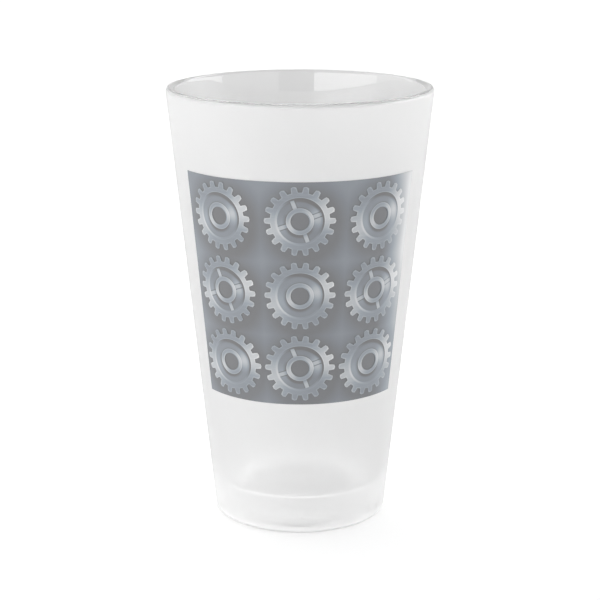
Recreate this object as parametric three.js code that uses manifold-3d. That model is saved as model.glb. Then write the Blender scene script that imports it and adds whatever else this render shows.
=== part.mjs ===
// A 16 oz frosted pint glass: a thick-bottomed conical tumbler of clear glass, a thin frosted
// coating on its outside, and a printed panel of gears on the coating's front.
// Millimetres, +Z up. The origin is the middle of the foot, on the table; the print faces -Y.

import * as THREE from "three";
import { mergeVertices } from "three/addons/utils/BufferGeometryUtils.js";
import Module from "manifold-3d";

const wasm = await Module();
wasm.setup();

// Driving dimensions of the tumbler
const HEIGHT = 149;
const RIM_RADIUS = 45;
const FOOT_RADIUS = 29.5; // the outer wall's line carried down to the table
const HEEL_ROUND = 1.6;
const RIM_WALL = 2.8; // the lip is a half round of this width
const LIP_ROUND = RIM_WALL / 2;
const FLOOR_HEIGHT = 10.2; // the inside floor at its middle, so the bottom is that thick
const FLOOR_DISH = 0.5; // how much higher the inside floor is at its edge
const CORNER_WALL = 4.4; // the wall where it meets the inside corner's round
const CORNER_ROUND = 5;
const RING_WIDTH = 6; // the flat ring that the glass stands on
const PUNT_DEPTH = 1.4; // how far the underside's middle is pushed up
const PUNT_SLOPE = 4; // the width of the slope round it
const SEGMENTS = 64;

// The layers on the outer wall, as distances out from it
const COAT = { inner: 0.05, outer: 0.2 };
const GROUND = { inner: 0.25, outer: 0.33 };
const GEAR_INK = { inner: 0.38, outer: 0.46 };
const COAT_START_ANGLE = -45; // degrees round the heel, so that the coating stays off the table
const COAT_END_ANGLE = 50; // degrees round the lip, whose top and inside stay clear

// The print, as a window on the wall
const PRINT_LOW = 48;
const PRINT_HIGH = 124.2;
const PRINT_HALF_ANGLE = 59.4;
const PRINT_MIDDLE = (PRINT_LOW + PRINT_HIGH) / 2;

// The printed gears: one plain design, in equal rows and columns about the print's middle. tip, root
// and bore are the radii of the tooth tips, of the gaps between the teeth and of the hole.
const GEAR = { tip: 11.6, root: 9.6, bore: 3, teeth: 18 };
const GEAR_ROWS = 3;
const GEAR_COLUMNS = 3;
const ROW_PITCH = 25.2; // up the wall
const COLUMN_PITCH = 39; // degrees round the wall
const TOOTH_FOOT = 0.62; // a tooth's width at its foot, as a share of the pitch there
const TOOTH_TIP = 0.42; // and at its tip
const BORE_SIDES = 12;
const STAMP_REACH = [0.7, 1.4]; // where a gear's cutter starts and ends, in wall radii
const SEAM = 1e-4; // points nearer than this are one point

const radians = THREE.MathUtils.degToRad;
const LEAN = Math.atan((RIM_RADIUS - FOOT_RADIUS) / HEIGHT);
const wallRadius = (height) => FOOT_RADIUS + height * Math.tan(LEAN);
const point = (radius, height) => new THREE.Vector2(radius, height);

// Points on an arc, from one angle to another in radians, both ends included
function arc(centre, radius, from, to, steps) {
  return Array.from({ length: steps + 1 }, (_, i) => {
    const a = from + ((to - from) * i) / steps;
    return point(centre.x + radius * Math.cos(a), centre.y + radius * Math.sin(a));
  });
}

// The centre, at a height, of a round that touches the outer wall from inside
const roundCentre = (radius, height) => point(wallRadius(height) - radius / Math.cos(LEAN), height);
const heelCentre = roundCentre(HEEL_ROUND, HEEL_ROUND);
const lipCentre = roundCentre(LIP_ROUND, HEIGHT - LIP_ROUND);

function tumblerProfile() {
  const cornerHeight = FLOOR_HEIGHT + FLOOR_DISH + CORNER_ROUND;
  const wallEnd = point(wallRadius(cornerHeight) - CORNER_WALL, cornerHeight);
  const innerLean = Math.atan((lipCentre.x - LIP_ROUND - wallEnd.x) / (lipCentre.y - wallEnd.y));
  const cornerCentre = point(wallEnd.x - CORNER_ROUND * Math.cos(innerLean), cornerHeight);
  const ringInner = heelCentre.x - RING_WIDTH;
  return [
    point(0, PUNT_DEPTH),
    point(ringInner - PUNT_SLOPE, PUNT_DEPTH),
    point(ringInner, 0),
    ...arc(heelCentre, HEEL_ROUND, -Math.PI / 2, -LEAN, 4),
    ...arc(lipCentre, LIP_ROUND, -LEAN, Math.PI / 2, 3),
    ...arc(lipCentre, LIP_ROUND, Math.PI / 2, Math.PI - innerLean, 3).slice(1),
    ...arc(cornerCentre, CORNER_ROUND, -innerLean, -Math.PI / 2, 5),
    point(0, FLOOR_HEIGHT),
  ];
}

function coatProfile() {
  const side = (offset) => [
    ...arc(heelCentre, HEEL_ROUND + offset, radians(COAT_START_ANGLE), -LEAN, 3),
    ...arc(lipCentre, LIP_ROUND + offset, -LEAN, radians(COAT_END_ANGLE), 3),
  ];
  const outline = [...side(COAT.outer), ...side(COAT.inner).reverse()];
  return [...outline, outline[0]];
}

// A film on the wall, all the way round, over the print's height
function filmProfile(layer) {
  const edge = (height, offset) => point(wallRadius(height) + offset / Math.cos(LEAN), height);
  const outline = [
    edge(PRINT_LOW, layer.outer),
    edge(PRINT_HIGH, layer.outer),
    edge(PRINT_HIGH, layer.inner),
    edge(PRINT_LOW, layer.inner),
  ];
  return [...outline, outline[0]];
}

const turned = (profile) => new THREE.LatheGeometry(profile, SEGMENTS).rotateX(Math.PI / 2);

function solid(geometry) {
  const bare = geometry.clone().deleteAttribute("normal").deleteAttribute("uv");
  const merged = mergeVertices(bare, SEAM);
  return new wasm.Manifold(
    new wasm.Mesh({
      numProp: 3,
      vertProperties: merged.attributes.position.array,
      triVerts: new Uint32Array(merged.index.array),
    }),
  );
}

function geometryOf(manifold) {
  const { vertProperties, triVerts } = manifold.getMesh();
  return new THREE.BufferGeometry()
    .setAttribute("position", new THREE.BufferAttribute(vertProperties, 3))
    .setIndex(new THREE.BufferAttribute(triVerts, 1));
}

// Everything inside the print's two upright edges: a sector of a disc, taller than the glass
function printSector() {
  const reach = RIM_RADIUS * 2;
  const shape = new THREE.Shape().moveTo(0, 0);
  for (const share of [-1, -0.5, 0, 0.5, 1]) {
    const a = radians(PRINT_HALF_ANGLE) * share;
    shape.lineTo(reach * Math.sin(a), -reach * Math.cos(a));
  }
  return solid(new THREE.ExtrudeGeometry(shape, { depth: HEIGHT, bevelEnabled: false }));
}

// Where each gear is: its name, its degrees round the wall from the front, and its centre's height
function gearPlaces() {
  const places = [];
  for (let row = 0; row < GEAR_ROWS; row++) {
    for (let column = 0; column < GEAR_COLUMNS; column++) {
      places.push({
        name: `print_gear_${row + 1}_${column + 1}`,
        angle: (column - (GEAR_COLUMNS - 1) / 2) * COLUMN_PITCH,
        height: PRINT_MIDDLE + (row - (GEAR_ROWS - 1) / 2) * ROW_PITCH,
      });
    }
  }
  return places;
}

// A gear's outline with its bore, flat, about its own centre
function gearShape() {
  const pitch = (2 * Math.PI) / GEAR.teeth;
  const corners = [
    [-TOOTH_FOOT, GEAR.root],
    [-TOOTH_TIP, GEAR.tip],
    [TOOTH_TIP, GEAR.tip],
    [TOOTH_FOOT, GEAR.root],
  ];
  const outline = [];
  for (let tooth = 0; tooth < GEAR.teeth; tooth++) {
    for (const [share, radius] of corners) {
      const a = pitch * (tooth + share / 2);
      outline.push(point(radius * Math.cos(a), radius * Math.sin(a)));
    }
  }
  const shape = new THREE.Shape(outline);
  const bore = arc(point(0, 0), GEAR.bore, 0, -2 * Math.PI, BORE_SIDES).slice(1);
  shape.holes.push(new THREE.Path(bore));
  return shape;
}

// The gear's shape as a cutter that runs straight out through the wall at the gear's place.
// Its caps lie far from the wall, because their triangles are chords.
function stamp(place) {
  const geometry = new THREE.ExtrudeGeometry(gearShape(), { depth: 1, bevelEnabled: false });
  const radius = wallRadius(place.height);
  const position = geometry.getAttribute("position");
  for (let i = 0; i < position.count; i++) {
    const a = radians(place.angle) + position.getX(i) / radius;
    const reach = radius * THREE.MathUtils.lerp(...STAMP_REACH, position.getZ(i));
    const height = place.height + position.getY(i);
    position.setXYZ(i, reach * Math.sin(a), -reach * Math.cos(a), height);
  }
  return solid(geometry);
}

const MATERIALS = {
  glass: new THREE.MeshStandardMaterial({
    color: 0xf2f5f5, roughness: 0.05, metalness: 0, transparent: true, opacity: 0.35,
  }),
  frost: new THREE.MeshStandardMaterial({
    color: 0xe6e7e7, roughness: 0.6, metalness: 0, transparent: true, opacity: 0.6,
  }),
  ground: new THREE.MeshStandardMaterial({ color: 0x7b7f80, roughness: 0.6, metalness: 0 }),
  gear: new THREE.MeshStandardMaterial({ color: 0xa9b0b5, roughness: 0.6, metalness: 0 }),
};

function mesh(name, geometry, material) {
  const made = new THREE.Mesh(geometry, material);
  made.name = name;
  return made;
}

const pintGlass = new THREE.Group();
pintGlass.add(mesh("glass_tumbler", turned(tumblerProfile()), MATERIALS.glass));
pintGlass.add(mesh("frosted_coating", turned(coatProfile()), MATERIALS.frost));

const ground = solid(turned(filmProfile(GROUND))).intersect(printSector());
pintGlass.add(mesh("print_ground", geometryOf(ground), MATERIALS.ground));

const gearFilm = solid(turned(filmProfile(GEAR_INK)));
for (const place of gearPlaces()) {
  const ink = gearFilm.intersect(stamp(place));
  pintGlass.add(mesh(place.name, geometryOf(ink), MATERIALS.gear));
}

export default pintGlass;
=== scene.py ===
"""A frosted pint glass with a printed panel of gears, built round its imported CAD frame.

Lengths are written in millimetres and made metres by MM. +Z is up and the print faces -Y.
"""

import math
from collections import namedtuple
from functools import reduce

import bmesh
import bpy
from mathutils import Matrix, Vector


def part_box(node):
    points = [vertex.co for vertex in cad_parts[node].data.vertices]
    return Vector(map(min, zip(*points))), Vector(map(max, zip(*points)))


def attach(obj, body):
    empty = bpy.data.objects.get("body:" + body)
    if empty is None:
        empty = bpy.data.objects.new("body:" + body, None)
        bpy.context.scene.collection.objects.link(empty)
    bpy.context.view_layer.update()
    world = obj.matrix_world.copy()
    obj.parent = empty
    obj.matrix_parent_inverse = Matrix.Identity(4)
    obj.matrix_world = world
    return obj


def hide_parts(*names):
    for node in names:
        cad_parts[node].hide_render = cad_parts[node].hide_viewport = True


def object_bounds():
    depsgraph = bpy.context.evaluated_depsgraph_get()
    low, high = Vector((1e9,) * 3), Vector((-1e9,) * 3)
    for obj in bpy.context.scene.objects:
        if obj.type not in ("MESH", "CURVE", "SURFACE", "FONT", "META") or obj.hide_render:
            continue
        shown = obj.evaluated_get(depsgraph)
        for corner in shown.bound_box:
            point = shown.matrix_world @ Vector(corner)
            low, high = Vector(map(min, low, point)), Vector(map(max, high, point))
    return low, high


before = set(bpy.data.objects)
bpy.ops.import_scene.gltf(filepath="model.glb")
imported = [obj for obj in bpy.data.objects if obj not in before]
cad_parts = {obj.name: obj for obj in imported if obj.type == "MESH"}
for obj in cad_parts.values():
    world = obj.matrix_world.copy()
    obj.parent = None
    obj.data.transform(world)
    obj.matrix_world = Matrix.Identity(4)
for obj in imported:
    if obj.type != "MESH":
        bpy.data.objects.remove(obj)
cad_low, cad_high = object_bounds()

MM = 0.001
UP = Vector((0, 0, 1))

# The tumbler, with the same driving dimensions as the CAD model
HEIGHT = cad_high.z / MM
RIM_RADIUS = 45
FOOT_RADIUS = 29.5  # the outer wall's line carried down to the table
HEEL_ROUND = 1.6
RIM_WALL = 2.8
LIP_ROUND = RIM_WALL / 2
FLOOR_HEIGHT = 10.2
FLOOR_DISH = 0.5
CORNER_WALL = 4.4
CORNER_ROUND = 5
RING_WIDTH = 6
PUNT_DEPTH = 1.4
PUNT_SLOPE = 4
SEGMENTS = 256
LEAN = math.atan((RIM_RADIUS - FOOT_RADIUS) / HEIGHT)

# The layers on the outer wall, as distances out from it
COAT_INNER = 0.05
COAT_OUTER = 0.2
GROUND_INNER = 0.25
GROUND_OUTER = 0.33
GEAR_OUTER = 0.46
GEAR_THICKNESS = 0.012
COAT_START = math.radians(-45)  # round the heel
COAT_END = math.radians(50)  # round the lip

# The print's window on the wall
PRINT_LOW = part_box("print_ground")[0].z / MM
PRINT_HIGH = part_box("print_ground")[1].z / MM
PRINT_HALF_ANGLE = math.radians(59.4)
PRINT_MIDDLE = (PRINT_LOW + PRINT_HIGH) / 2
GRID = 1.1  # the films' mesh size
PAINTED_GLOW_START = 0.7  # where the painted glow of light starts to pale the print, as a share of its half angle
PAINTED_GLOW_SPAN = 0.28  # and how much further on it is palest

# The printed gears: one plain design, in equal rows and columns about the print's middle, every other
# one with spokes. angle is in degrees round the wall from the front, and height is the centre's.
Gear = namedtuple("Gear", "name angle height spokes")
GEAR_ROWS = 3
GEAR_COLUMNS = 3
ROW_PITCH = 25.2  # up the wall
COLUMN_PITCH = 39  # degrees round the wall
SPOKES = 4
GEARS = [
    Gear(
        name=f"{row + 1}_{column + 1}",
        angle=(column - (GEAR_COLUMNS - 1) / 2) * COLUMN_PITCH,
        height=PRINT_MIDDLE + (row - (GEAR_ROWS - 1) / 2) * ROW_PITCH,
        spokes=SPOKES * ((row + column) % 2),
    )
    for row in range(GEAR_ROWS)
    for column in range(GEAR_COLUMNS)
]
# A gear's radii, from the hole to the tooth tips
GEAR_BORE = 3
GEAR_HUB = 4.5
GEAR_RECESS = 7.8
GEAR_ROOT = 9.6
GEAR_TIP = 11.6
TEETH = 18
TOOTH_FOOT = 0.62  # a tooth's width at its foot, as a share of the pitch there
TOOTH_TIP = 0.42  # and at its tip
TIP_ROUND = 0.25  # how far a tooth's tip corners are rounded off
SHADOW_REACH = 6  # how far past a gear's tips its soft shadow on the ground goes
SHADOW_DROP = 1.5  # how far the shadow lies below its gear
SHADOW_TURN = 0.03  # and to the gear's right, in radians


# ---------------------------------------------------------------- node trees


def principled(name, **plain):
    """A new material and its Principled shader, with plain values set on the shader's own sockets."""
    material = bpy.data.materials.new(name)
    material.use_nodes = True
    shader = material.node_tree.nodes["Principled BSDF"]
    for socket, value in plain.items():
        shader.inputs[socket.replace("_", " ")].default_value = value
    return material, shader


def add(tree, kind, inputs=None, output=0, **settings):
    """Adds a node, fills or links its inputs, and returns one of its outputs."""
    made = tree.nodes.new("ShaderNode" + kind)
    for key, value in settings.items():
        setattr(made, key, value)
    for key, value in (inputs or {}).items():
        if isinstance(value, bpy.types.NodeSocket):
            tree.links.new(value, made.inputs[key])
        else:
            made.inputs[key].default_value = value
    return made.outputs[output]


def calc(tree, operation, *values):
    return add(tree, "Math", dict(enumerate(values)), operation=operation)


def blend(tree, share, a, b):
    """a where share is 0, b where it is 1."""
    return add(tree, "Mix", {0: share, 2: a, 3: b}, data_type="FLOAT")


def step(tree, value, start, end):
    """0 before start, 1 after end, and smooth between them."""
    inputs = {"Value": value, "From Min": start, "From Max": end}
    return add(tree, "MapRange", inputs, interpolation_type="SMOOTHSTEP")


def noise(tree, place, scale, detail=2.0):
    inputs = {"Vector": place, "Scale": scale, "Detail": detail}
    return add(tree, "TexNoise", inputs)


def ripple(tree, value, size):
    """A number between 0 and 1, made to vary by size about 0."""
    return calc(tree, "MULTIPLY", calc(tree, "SUBTRACT", value, 0.5), size)


def roughen(tree, shader, height, strength, distance):
    """Gives the shader a bumped normal."""
    bump = add(tree, "Bump", {"Height": height, "Strength": strength, "Distance": distance * MM})
    tree.links.new(bump, shader.inputs["Normal"])


def attribute(tree, name, output=0):
    return add(tree, "Attribute", output=output, attribute_name=name)


def object_place(tree):
    return add(tree, "TexCoord", output=3)


# ------------------------------------------------------------------ materials


def clear_glass():
    """Fire-polished glass: the faint waves of a pressed wall."""
    material, shader = principled(
        "clear_glass",
        Base_Color=(0.99, 0.99, 0.99, 1),
        Roughness=0.02,
        IOR=1.5,
        Transmission_Weight=1.0,
    )
    tree = material.node_tree
    waves = noise(tree, object_place(tree), 45, 1.0)
    roughen(tree, shader, waves, 0.05, 0.4)
    return material


def bonded():
    """Where the coating and the glass are one body, there is nothing to see."""
    material = bpy.data.materials.new("bonded_interface")
    material.use_nodes = True
    tree = material.node_tree
    tree.nodes.remove(tree.nodes["Principled BSDF"])
    clear = add(tree, "BsdfTransparent")
    tree.links.new(clear, tree.nodes["Material Output"].inputs["Surface"])
    return material


def clouded(tree, shader, cloud, dark, light):
    """Colours a surface between two greys by a noise."""
    colour = add(tree, "ValToRGB", {0: cloud})
    for stop, grey in zip(colour.node.color_ramp.elements, (dark, light)):
        stop.color = (grey, grey, grey, 1)
    tree.links.new(colour, shader.inputs["Base Color"])


def satin_frost():
    """A milky satin coat that blurs what is behind it, with a fine grain."""
    material, shader = principled(
        "satin_frost",
        Roughness=0.36,
        IOR=1.5,
        Transmission_Weight=0.5,
    )
    tree = material.node_tree
    place = object_place(tree)
    clouded(tree, shader, noise(tree, place, 60, 3.0), dark=0.86, light=0.88)
    roughen(tree, shader, noise(tree, place, 2600), 0.08, 0.02)
    return material


def inked(tree, shader, tone):
    """Colours ink by its tone, from 0 for black to 1 for white, with the dark greys a cool blue."""
    tints = {
        0.45: (1, 1, 1.02),
        0.51: (0.94, 1, 1.09),
        0.6: (0.91, 1, 1.1),
        0.72: (0.97, 1, 1.03),
        0.9: (1, 1, 1),
    }
    colour = add(tree, "ValToRGB", {0: tone})
    stops = colour.node.color_ramp.elements
    while len(stops) < len(tints):
        stops.new(0.5)
    for stop, (at, tint) in zip(stops, tints.items()):
        stop.position = at
        stop.color = [*(at**2.2 * share for share in tint), 1]
    tree.links.new(colour, shader.inputs["Base Color"])
    roughen(tree, shader, noise(tree, object_place(tree), 1800), 0.1, 0.02)


def ground_ink():
    """Slate that turns to a plain darker grey in the gears' shadows and pales to the right under a
    painted glow of light.
    """
    material, shader = principled("ground_ink", Roughness=0.5, Specular_IOR_Level=0.25)
    tree = material.node_tree
    shade = attribute(tree, "shade", output=2)
    place = object_place(tree)
    cloud = ripple(tree, noise(tree, place, 40, 3.0), 0.05)
    tone = calc(tree, "ADD", blend(tree, shade, 0.54, 0.465), cloud)
    # The ink pales towards the print's right edge and top under a painted glow of light.
    tone = blend(tree, attribute(tree, "painted_glow", output=2), tone, 0.84)
    inked(tree, shader, tone)
    return material


def steel_ink(spokes):
    """The drawing of a steel gear: a flat brushed rim, a recessed web and a raised hub, with light
    from the upper right. The drawing attribute holds x and y from the gear's centre, and how far out
    a point is on the gear: 0 at the bore, 1 at the hub's edge, 2 at the recess's and 3 at the root."""
    material, shader = principled("steel_ink_%d" % spokes, Roughness=0.5, Specular_IOR_Level=0.25)
    tree = material.node_tree
    drawing = attribute(tree, "drawing", output=1)
    split = add(tree, "SeparateXYZ", {0: drawing}).node.outputs
    x, y, out = split
    radius = add(tree, "VectorMath", {0: add(tree, "CombineXYZ", {0: x, 1: y})}, 1, operation="LENGTH")
    angle = calc(tree, "ARCTAN2", y, x)

    def lobe(degrees, power):
        """1 on the side that lies at that angle from the centre, falling to 0 at a right angle to it."""
        towards = calc(tree, "COSINE", calc(tree, "SUBTRACT", angle, math.radians(degrees)))
        return calc(tree, "POWER", calc(tree, "MAXIMUM", towards, 0.0), power)

    def times(*values):
        return reduce(lambda a, b: calc(tree, "MULTIPLY", a, b), values)

    def plus(*values):
        return reduce(lambda a, b: calc(tree, "ADD", a, b), values)

    # The rim and teeth: straight brush strokes that lean a little, and a sheen across from side to side
    strokes = add(tree, "Mapping", {0: drawing, 2: (0, 0, 0.5), 3: (0.12, 1.6, 0)}, vector_type="POINT")
    rim = plus(
        0.55,
        times(lobe(17, 5), 0.19),
        times(lobe(200, 5), 0.14),
        ripple(tree, noise(tree, strokes, 1.0), 0.06),
    )

    # The web: turned rings, with the fans of light that turned metal shows
    rings = add(tree, "CombineXYZ", {0: times(radius, 2.4), 1: 0.0})
    web = plus(
        0.53,
        times(lobe(14, 8), 0.17),
        times(lobe(198, 6), 0.07),
        ripple(tree, noise(tree, rings, 1.0), 0.06),
    )
    if spokes:
        swing = calc(tree, "SINE", times(calc(tree, "SUBTRACT", angle, 0.35), spokes / 2))
        off_line = times(calc(tree, "ABSOLUTE", swing), radius, 2 / spokes)
        web = plus(web, -0.02)
        web = blend(tree, step(tree, off_line, 0.75, 1.05), 0.45, web)
        web = blend(tree, step(tree, off_line, 0.5, 0.8), 0.68, web)
    # The hub's shadow falls to its lower left and the recess wall's to the upper right, and a dark
    # line runs round the hub's foot
    hub_shadow = times(calc(tree, "SUBTRACT", 1.0, step(tree, out, 1.0, 1.45)), lobe(240, 0.7), -0.12)
    hub_foot = times(calc(tree, "SUBTRACT", 1.0, step(tree, out, 1.0, 1.15)), -0.06)
    wall_shadow = times(step(tree, out, 1.5, 1.85), lobe(48, 1.2), -0.15)
    web = plus(web, hub_shadow, hub_foot, wall_shadow)

    # The recess's wall is dark in its own shade and catches light opposite, and so does the rim's edge
    recess_wall = plus(0.55, times(lobe(48, 1), -0.21), times(lobe(205, 3), 0.2))
    rim_edge = calc(tree, "SUBTRACT", 1.0, step(tree, out, 2.05, 2.2))
    rim = plus(rim, times(rim_edge, plus(0.03, times(lobe(48, 1), 0.08))))
    # The hub: a bright turned ring with a chamfer at the bore
    hub = plus(0.57, times(lobe(210, 4), 0.14), times(lobe(20, 3), 0.15))
    hub = plus(hub, times(step(tree, out, 0.75, 0.9), 0.05))
    chamfer = plus(0.54, times(lobe(190, 2), 0.12))

    tone = blend(tree, step(tree, out, 0.18, 0.3), chamfer, hub)
    tone = blend(tree, step(tree, out, 0.94, 1.02), tone, web)
    tone = blend(tree, step(tree, out, 1.8, 1.88), tone, recess_wall)
    tone = blend(tree, step(tree, out, 1.98, 2.08), tone, rim)
    edge = attribute(tree, "edge", output=2)
    tone = plus(tone, times(step(tree, edge, 0.5, 1.0), 0.07))
    # The ink pales towards the print's right edge and top under a painted glow of light.
    tone = blend(tree, attribute(tree, "painted_glow", output=2), tone, 0.86)
    inked(tree, shader, tone)
    return material


def light_table():
    """White acrylic, lit softly from below so that the glass casts hardly any shadow."""
    material, shader = principled(
        "light_table",
        Roughness=0.8,
        Specular_IOR_Level=0.2,
        Emission_Strength=0.32,
    )
    tree = material.node_tree
    clouded(tree, shader, noise(tree, object_place(tree), 400, 4.0), dark=0.93, light=0.95)
    return material


# --------------------------------------------------------------- turned pieces


def wall_radius(height):
    return FOOT_RADIUS + height * math.tan(LEAN)


def arc(centre, radius, start, end, steps):
    """Points on an arc in the profile plane, both ends included."""
    angles = [start + (end - start) * i / steps for i in range(steps + 1)]
    return [(centre[0] + radius * math.cos(a), centre[1] + radius * math.sin(a)) for a in angles]


def straight(start, end):
    """A straight stretch of profile, with a point near each end that keeps its shading flat."""
    shares = (0, 0.004, 0.996, 1)
    return [tuple(a + (b - a) * share for a, b in zip(start, end)) for share in shares]


def turned(name, stretches, materials, closed=False):
    """A body turned about Z. Each stretch is a material's number and profile points; it starts where
    the one before it ends, and the profile runs from axis to axis or closes on itself."""
    profile, slots = [], []
    for slot, points in stretches:
        fresh = points[1:] if profile else points
        slots += [slot] * (len(fresh) - (0 if profile else 1))
        profile += fresh
    if closed:
        profile.pop()
    form = bmesh.new()
    rings = []
    for radius, height in profile:
        around = 1 if radius < MM else SEGMENTS
        angles = [2 * math.pi * i / SEGMENTS for i in range(around)]
        places = [(radius * math.cos(a), radius * math.sin(a), height) for a in angles]
        rings.append([form.verts.new(Vector(place) * MM) for place in places])
    follower = rings[1:] + (rings[:1] if closed else [])
    for slot, low, high in zip(slots, rings, follower):
        for i in range(SEGMENTS):
            corners = [low[i % len(low)], low[(i + 1) % len(low)]]
            corners += [high[(i + 1) % len(high)], high[i % len(high)]]
            face = form.faces.new(dict.fromkeys(corners))
            face.material_index = slot
            face.smooth = True
    bmesh.ops.recalc_face_normals(form, faces=form.faces)
    mesh = bpy.data.meshes.new(name)
    form.to_mesh(mesh)
    form.free()
    return piece(name, mesh, materials)


def piece(name, mesh, materials):
    made = bpy.data.objects.new(name, mesh)
    bpy.context.scene.collection.objects.link(made)
    for material in materials:
        mesh.materials.append(material)
    return made


def round_centre(radius, height):
    """The centre, at a height, of a round that touches the outer wall from inside."""
    return (wall_radius(height) - radius / math.cos(LEAN), height)


HEEL_CENTRE = round_centre(HEEL_ROUND, HEEL_ROUND)
LIP_CENTRE = round_centre(LIP_ROUND, HEIGHT - LIP_ROUND)


def tumbler(glass, interface):
    corner_height = FLOOR_HEIGHT + FLOOR_DISH + CORNER_ROUND
    wall_end = (wall_radius(corner_height) - CORNER_WALL, corner_height)
    inner_lean = math.atan((LIP_CENTRE[0] - LIP_ROUND - wall_end[0]) / (LIP_CENTRE[1] - wall_end[1]))
    corner_centre = (wall_end[0] - CORNER_ROUND * math.cos(inner_lean), corner_height)
    ring_inner = HEEL_CENTRE[0] - RING_WIDTH

    # The push-up slopes in an S from the ring to its flat middle
    slope = [(ring_inner - PUNT_SLOPE * (1 - i / 8), PUNT_DEPTH * (1 + math.cos(math.pi * i / 8)) / 2)
             for i in range(9)]
    foot = [(0, PUNT_DEPTH), *slope, *arc(HEEL_CENTRE, HEEL_ROUND, -math.pi / 2, COAT_START, 6)]
    heel = arc(HEEL_CENTRE, HEEL_ROUND, COAT_START, -LEAN, 6)
    coated_lip = arc(LIP_CENTRE, LIP_ROUND, -LEAN, COAT_END, 10)
    covered = [*heel[:-1], *straight(heel[-1], coated_lip[0]), *coated_lip[1:]]
    lip = arc(LIP_CENTRE, LIP_ROUND, COAT_END, math.pi - inner_lean, 20)
    corner = arc(corner_centre, CORNER_ROUND, -inner_lean, -math.pi / 2, 16)
    dish = [(corner_centre[0] * share, FLOOR_HEIGHT + FLOOR_DISH * share**2)
            for share in (0.85, 0.7, 0.5, 0.3, 0.15, 0)]
    bare = [*lip[:-1], *straight(lip[-1], corner[0]), *corner[1:], *dish]
    return turned("tumbler_glass", [(0, foot), (1, covered), (0, bare)], [glass, interface])


def coating(frost, interface):
    def side(offset):
        heel = arc(HEEL_CENTRE, HEEL_ROUND + offset, COAT_START, -LEAN, 6)
        lip = arc(LIP_CENTRE, LIP_ROUND + offset, -LEAN, COAT_END, 10)
        return [*heel[:-1], *straight(heel[-1], lip[0]), *lip[1:]]

    outer, inner = side(COAT_OUTER), side(COAT_INNER)[::-1]
    stretches = [(0, outer), (0, [outer[-1], inner[0]]), (1, inner), (0, [inner[-1], outer[0]])]
    return turned("satin_coating", stretches, [frost, interface], closed=True)


# -------------------------------------------------------------- printed pieces


def on_wall(angle, height, offset):
    radius = wall_radius(height) + offset / math.cos(LEAN)
    return Vector((radius * math.sin(angle), -radius * math.cos(angle), height)) * MM


def painted_glow(angle, height):
    """How far a painted glow of light pales the print: towards its right edge, and most near the top."""
    across = (angle / PRINT_HALF_ANGLE - PAINTED_GLOW_START) / PAINTED_GLOW_SPAN
    up = (height - PRINT_LOW) / (PRINT_HIGH - PRINT_LOW)
    share = min(max(across, 0), 1) ** 1.3
    return share * (0.35 + 0.6 * min(max((up - 0.25) / 0.4, 0), 1))


def film(name, flat, angle, height, inner, outer, material, marks):
    """Wraps a flat bmesh on the wall as a thin closed piece, its x to the right of angle and its y up
    from height. marks gives each vertex's numbers for the drawing, by attribute name."""
    radius = wall_radius(height)
    spots = [(angle + v.co.x / radius, height + v.co.y) for v in flat.verts]
    places = [on_wall(a, h, outer) for a, h in spots] + [on_wall(a, h, inner) for a, h in spots]
    flat.verts.index_update()
    count = len(spots)
    fronts = [[v.index for v in face.verts] for face in flat.faces]
    backs = [[i + count for i in reversed(face)] for face in fronts]
    rims = [edge.link_loops[0] for edge in flat.edges if edge.is_boundary]
    ends = [(rim.link_loop_next.vert.index, rim.vert.index) for rim in rims]
    sides = [[a, b, b + count, a + count] for a, b in ends]
    mesh = bpy.data.meshes.new(name)
    mesh.from_pydata(places, [], fronts + backs + sides)
    mesh.shade_smooth()
    mesh.set_sharp_from_angle(angle=math.radians(30))
    # Each vertex also gets how far the painted glow of light pales the print there.
    marks = {**marks, "painted_glow": [painted_glow(a, h) for a, h in spots]}
    for key, values in marks.items():
        if isinstance(values[0], float):
            layer = mesh.attributes.new(key, "FLOAT", "POINT")
            layer.data.foreach_set("value", values * 2)
        else:
            layer = mesh.attributes.new(key, "FLOAT_VECTOR", "POINT")
            layer.data.foreach_set("vector", [number for value in values * 2 for number in value])
    flat.free()
    return piece(name, mesh, [material])


def gear_distance(gear, angle, height):
    """The distance along the wall from a gear's centre."""
    radius = wall_radius((gear.height + height) / 2)
    return math.hypot((angle - math.radians(gear.angle)) * radius, height - gear.height)


def shade(angle, height):
    """How deep a point on the ground lies in the gears' soft shadows."""
    distances = [gear_distance(gear, angle - SHADOW_TURN, height + SHADOW_DROP) for gear in GEARS]
    return min(max(1 - (min(distances) - GEAR_TIP) / SHADOW_REACH, 0), 1)


def print_ground(material):
    radius = wall_radius(PRINT_MIDDLE)
    wide, tall = PRINT_HALF_ANGLE * radius, (PRINT_HIGH - PRINT_LOW) / 2
    across, up = round(2 * wide / GRID), round(2 * tall / GRID)
    flat = bmesh.new()
    bmesh.ops.create_grid(flat, x_segments=across, y_segments=up, size=1)
    bmesh.ops.scale(flat, verts=flat.verts, vec=(wide, tall, 1))
    shades = [shade(v.co.x / radius, PRINT_MIDDLE + v.co.y) for v in flat.verts]
    marks = {"shade": [float(value) for value in shades]}
    return film("ink_ground", flat, 0, PRINT_MIDDLE, GROUND_INNER, GROUND_OUTER, material, marks)


def between(start, end):
    """Steps of about the grid's size from start to end, without the end."""
    count = max(1, round(abs(end - start) / GRID))
    return [start + (end - start) * i / count for i in range(count)]


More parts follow.
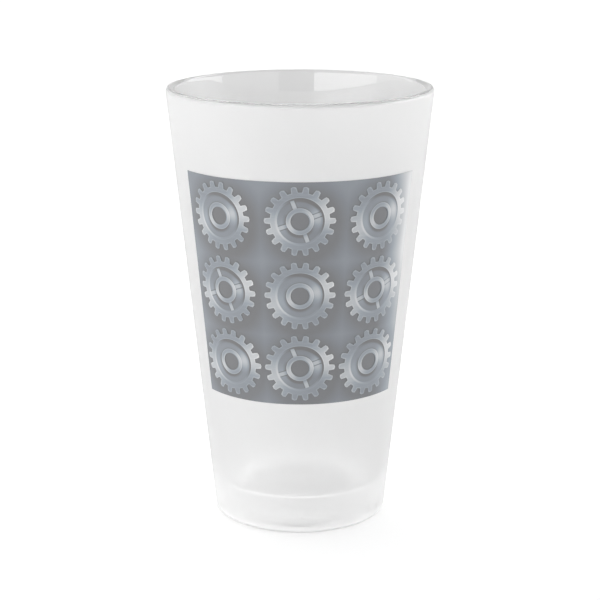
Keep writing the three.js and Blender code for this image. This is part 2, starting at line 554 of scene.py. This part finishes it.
def gear_flat():
    """A gear as a flat bmesh about its own centre, in millimetres."""
    flat = bmesh.new()
    pitch = 2 * math.pi / TEETH
    foot, gap = pitch * TOOTH_FOOT, pitch * (1 - TOOTH_FOOT)
    across = 2 * max(1, round(foot * GEAR_ROOT / GRID / 2))
    apart = max(1, round(gap * GEAR_ROOT / GRID))
    columns = []
    for tooth in range(TEETH):
        middle = tooth * pitch
        columns += [middle + foot * (i / across - 0.5) for i in range(across)]
        columns += [middle + foot / 2 + gap * i / apart for i in range(apart)]

    def vertex(radius, a):
        return flat.verts.new((radius * math.cos(a), radius * math.sin(a), 0))

    def strip(low, high):
        for i in range(len(low) - 1):
            flat.faces.new((low[i], high[i], high[i + 1], low[i + 1]))

    stops = [GEAR_BORE, GEAR_HUB, GEAR_RECESS, GEAR_ROOT]
    radii = [r for low, high in zip(stops, stops[1:]) for r in between(low, high)] + [GEAR_ROOT]
    rings = [[vertex(radius, a) for a in columns] for radius in radii]
    for low, high in zip(rings, rings[1:]):
        strip(low + low[:1], high + high[:1])

    per_tooth = across + apart
    rows = max(2, round((GEAR_TIP - GEAR_ROOT) / GRID))
    for tooth in range(TEETH):
        middle = tooth * pitch
        start = tooth * per_tooth
        low = rings[-1][start : start + across + 1]
        for row in range(1, rows + 1):
            up = row / rows
            width = pitch * (TOOTH_FOOT + (TOOTH_TIP - TOOTH_FOOT) * up)
            high = []
            for i in range(across + 1):
                side = 2 * i / across - 1
                radius = GEAR_ROOT + (GEAR_TIP - GEAR_ROOT) * up - TIP_ROUND * side**4 * up**3
                high.append(vertex(radius, middle + width * side / 2))
            strip(low, high)
            low = high
    return flat


def drawn_out(radius):
    """How far out on the gear a radius is: 0 at the bore, 1 at the hub's edge, and so on."""
    stops = [GEAR_BORE, GEAR_HUB, GEAR_RECESS, GEAR_ROOT, GEAR_TIP]
    for i, (low, high) in enumerate(zip(stops, stops[1:])):
        if radius < high:
            return i + (radius - low) / (high - low)
    return float(len(stops) - 1)


def print_gear(gear, material):
    flat = gear_flat()
    marks = {
        "drawing": [(v.co.x, v.co.y, drawn_out(v.co.length)) for v in flat.verts],
        "edge": [float(v.is_boundary) for v in flat.verts],
    }
    angle = math.radians(gear.angle)
    inner = GEAR_OUTER - GEAR_THICKNESS
    return film("ink_gear_" + gear.name, flat, angle, gear.height, inner, GEAR_OUTER, material, marks)


# --------------------------------------------------------------------- studio

AIM = UP * HEIGHT / 2 * MM  # what the camera looks at
CAMERA_PITCH = math.radians(14.93)  # how far it looks down
CAMERA_DISTANCE = 587.2 * MM
CAMERA_LENS = 101.6
FLOOR_REACH = 5  # from its middle to its sides, in metres

# The windows of light round the glass. Angles are in degrees: azimuth is the window's middle, 0 on the
# camera's side and positive to its right, half_width is to each side of that, bottom and top are the
# elevations of its edges. light adds to the room's.
Window = namedtuple("Window", "azimuth half_width bottom top light")
WINDOW_EDGE = 1  # how far past its edges a window's light fades out
ROOM_LIGHT = 0.03
WINDOWS = [
    Window(azimuth=-45.5, half_width=31.5, bottom=-5, top=26, light=3.5),
    Window(azimuth=-104, half_width=26, bottom=-5, top=60, light=1.4),
    Window(azimuth=50, half_width=29, bottom=-5, top=60, light=1.0),
    Window(azimuth=105, half_width=25, bottom=-5, top=25, light=4.2),
    Window(azimuth=180, half_width=56, bottom=-5, top=26, light=0.9),
    Window(azimuth=180, half_width=50, bottom=26, top=46, light=2.3),
]


def room():
    """Dim even light from all round, with the windows in it."""
    world = bpy.data.worlds.new("room")
    world.use_nodes = True
    tree = world.node_tree
    x, y, z = add(tree, "SeparateXYZ", {0: add(tree, "TexCoord")}).node.outputs
    azimuth = calc(tree, "ARCTAN2", x, calc(tree, "MULTIPLY", y, -1.0))
    elevation = calc(tree, "ARCSINE", z)
    light = ROOM_LIGHT
    for window in WINDOWS:
        turn = calc(tree, "COSINE", calc(tree, "SUBTRACT", azimuth, math.radians(window.azimuth)))
        tall = calc(tree, "SUBTRACT", elevation, math.radians((window.top + window.bottom) / 2))
        glow = window.light
        for aside, limit in (
            (calc(tree, "ARCCOSINE", turn), window.half_width),
            (calc(tree, "ABSOLUTE", tall), (window.top - window.bottom) / 2),
        ):
            inside = step(tree, aside, math.radians(limit + WINDOW_EDGE), math.radians(limit))
            glow = calc(tree, "MULTIPLY", inside, glow)
        light = calc(tree, "ADD", light, glow)
    tree.links.new(light, tree.nodes["Background"].inputs["Strength"])
    tree.nodes["Background"].inputs["Color"].default_value = (1, 1, 1, 1)
    bpy.context.scene.world = world


def studio():
    scene = bpy.context.scene
    scene.view_settings.view_transform = "Standard"
    scene.cycles.use_denoising = True
    scene.cycles.max_bounces = 32
    scene.cycles.transmission_bounces = 32
    scene.cycles.glossy_bounces = 12
    scene.cycles.diffuse_bounces = 6
    scene.cycles.transparent_max_bounces = 64
    room()

    form = bmesh.new()
    bmesh.ops.create_grid(form, x_segments=4, y_segments=4, size=FLOOR_REACH)
    sheet = bpy.data.meshes.new("floor")
    form.to_mesh(sheet)
    form.free()
    piece("floor", sheet, [light_table()])


def camera():
    """The view from a little above the rim, aimed at the middle of the glass."""
    data = bpy.data.cameras.new("camera")
    data.lens = CAMERA_LENS
    made = bpy.data.objects.new("camera", data)
    bpy.context.scene.collection.objects.link(made)
    towards_camera = Vector((0, -math.cos(CAMERA_PITCH), math.sin(CAMERA_PITCH)))
    made.location = AIM + towards_camera * CAMERA_DISTANCE
    made.rotation_euler = (math.pi / 2 - CAMERA_PITCH, 0, 0)
    bpy.context.scene.camera = made


camera()
studio()

glass, interface = clear_glass(), bonded()
placed = [
    (tumbler(glass, interface), "glass_tumbler", "clear_glass"),
    (coating(satin_frost(), interface), "frosted_coating", "frosted_coat"),
    (print_ground(ground_ink()), "print_ground", "ground_ink"),
]
inks = {spokes: steel_ink(spokes) for spokes in sorted({gear.spokes for gear in GEARS})}
for gear in GEARS:
    placed.append((print_gear(gear, inks[gear.spokes]), "print_gear_" + gear.name, "steel_ink"))
for made, node, slot in placed:
    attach(made, "root")
    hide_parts(node)
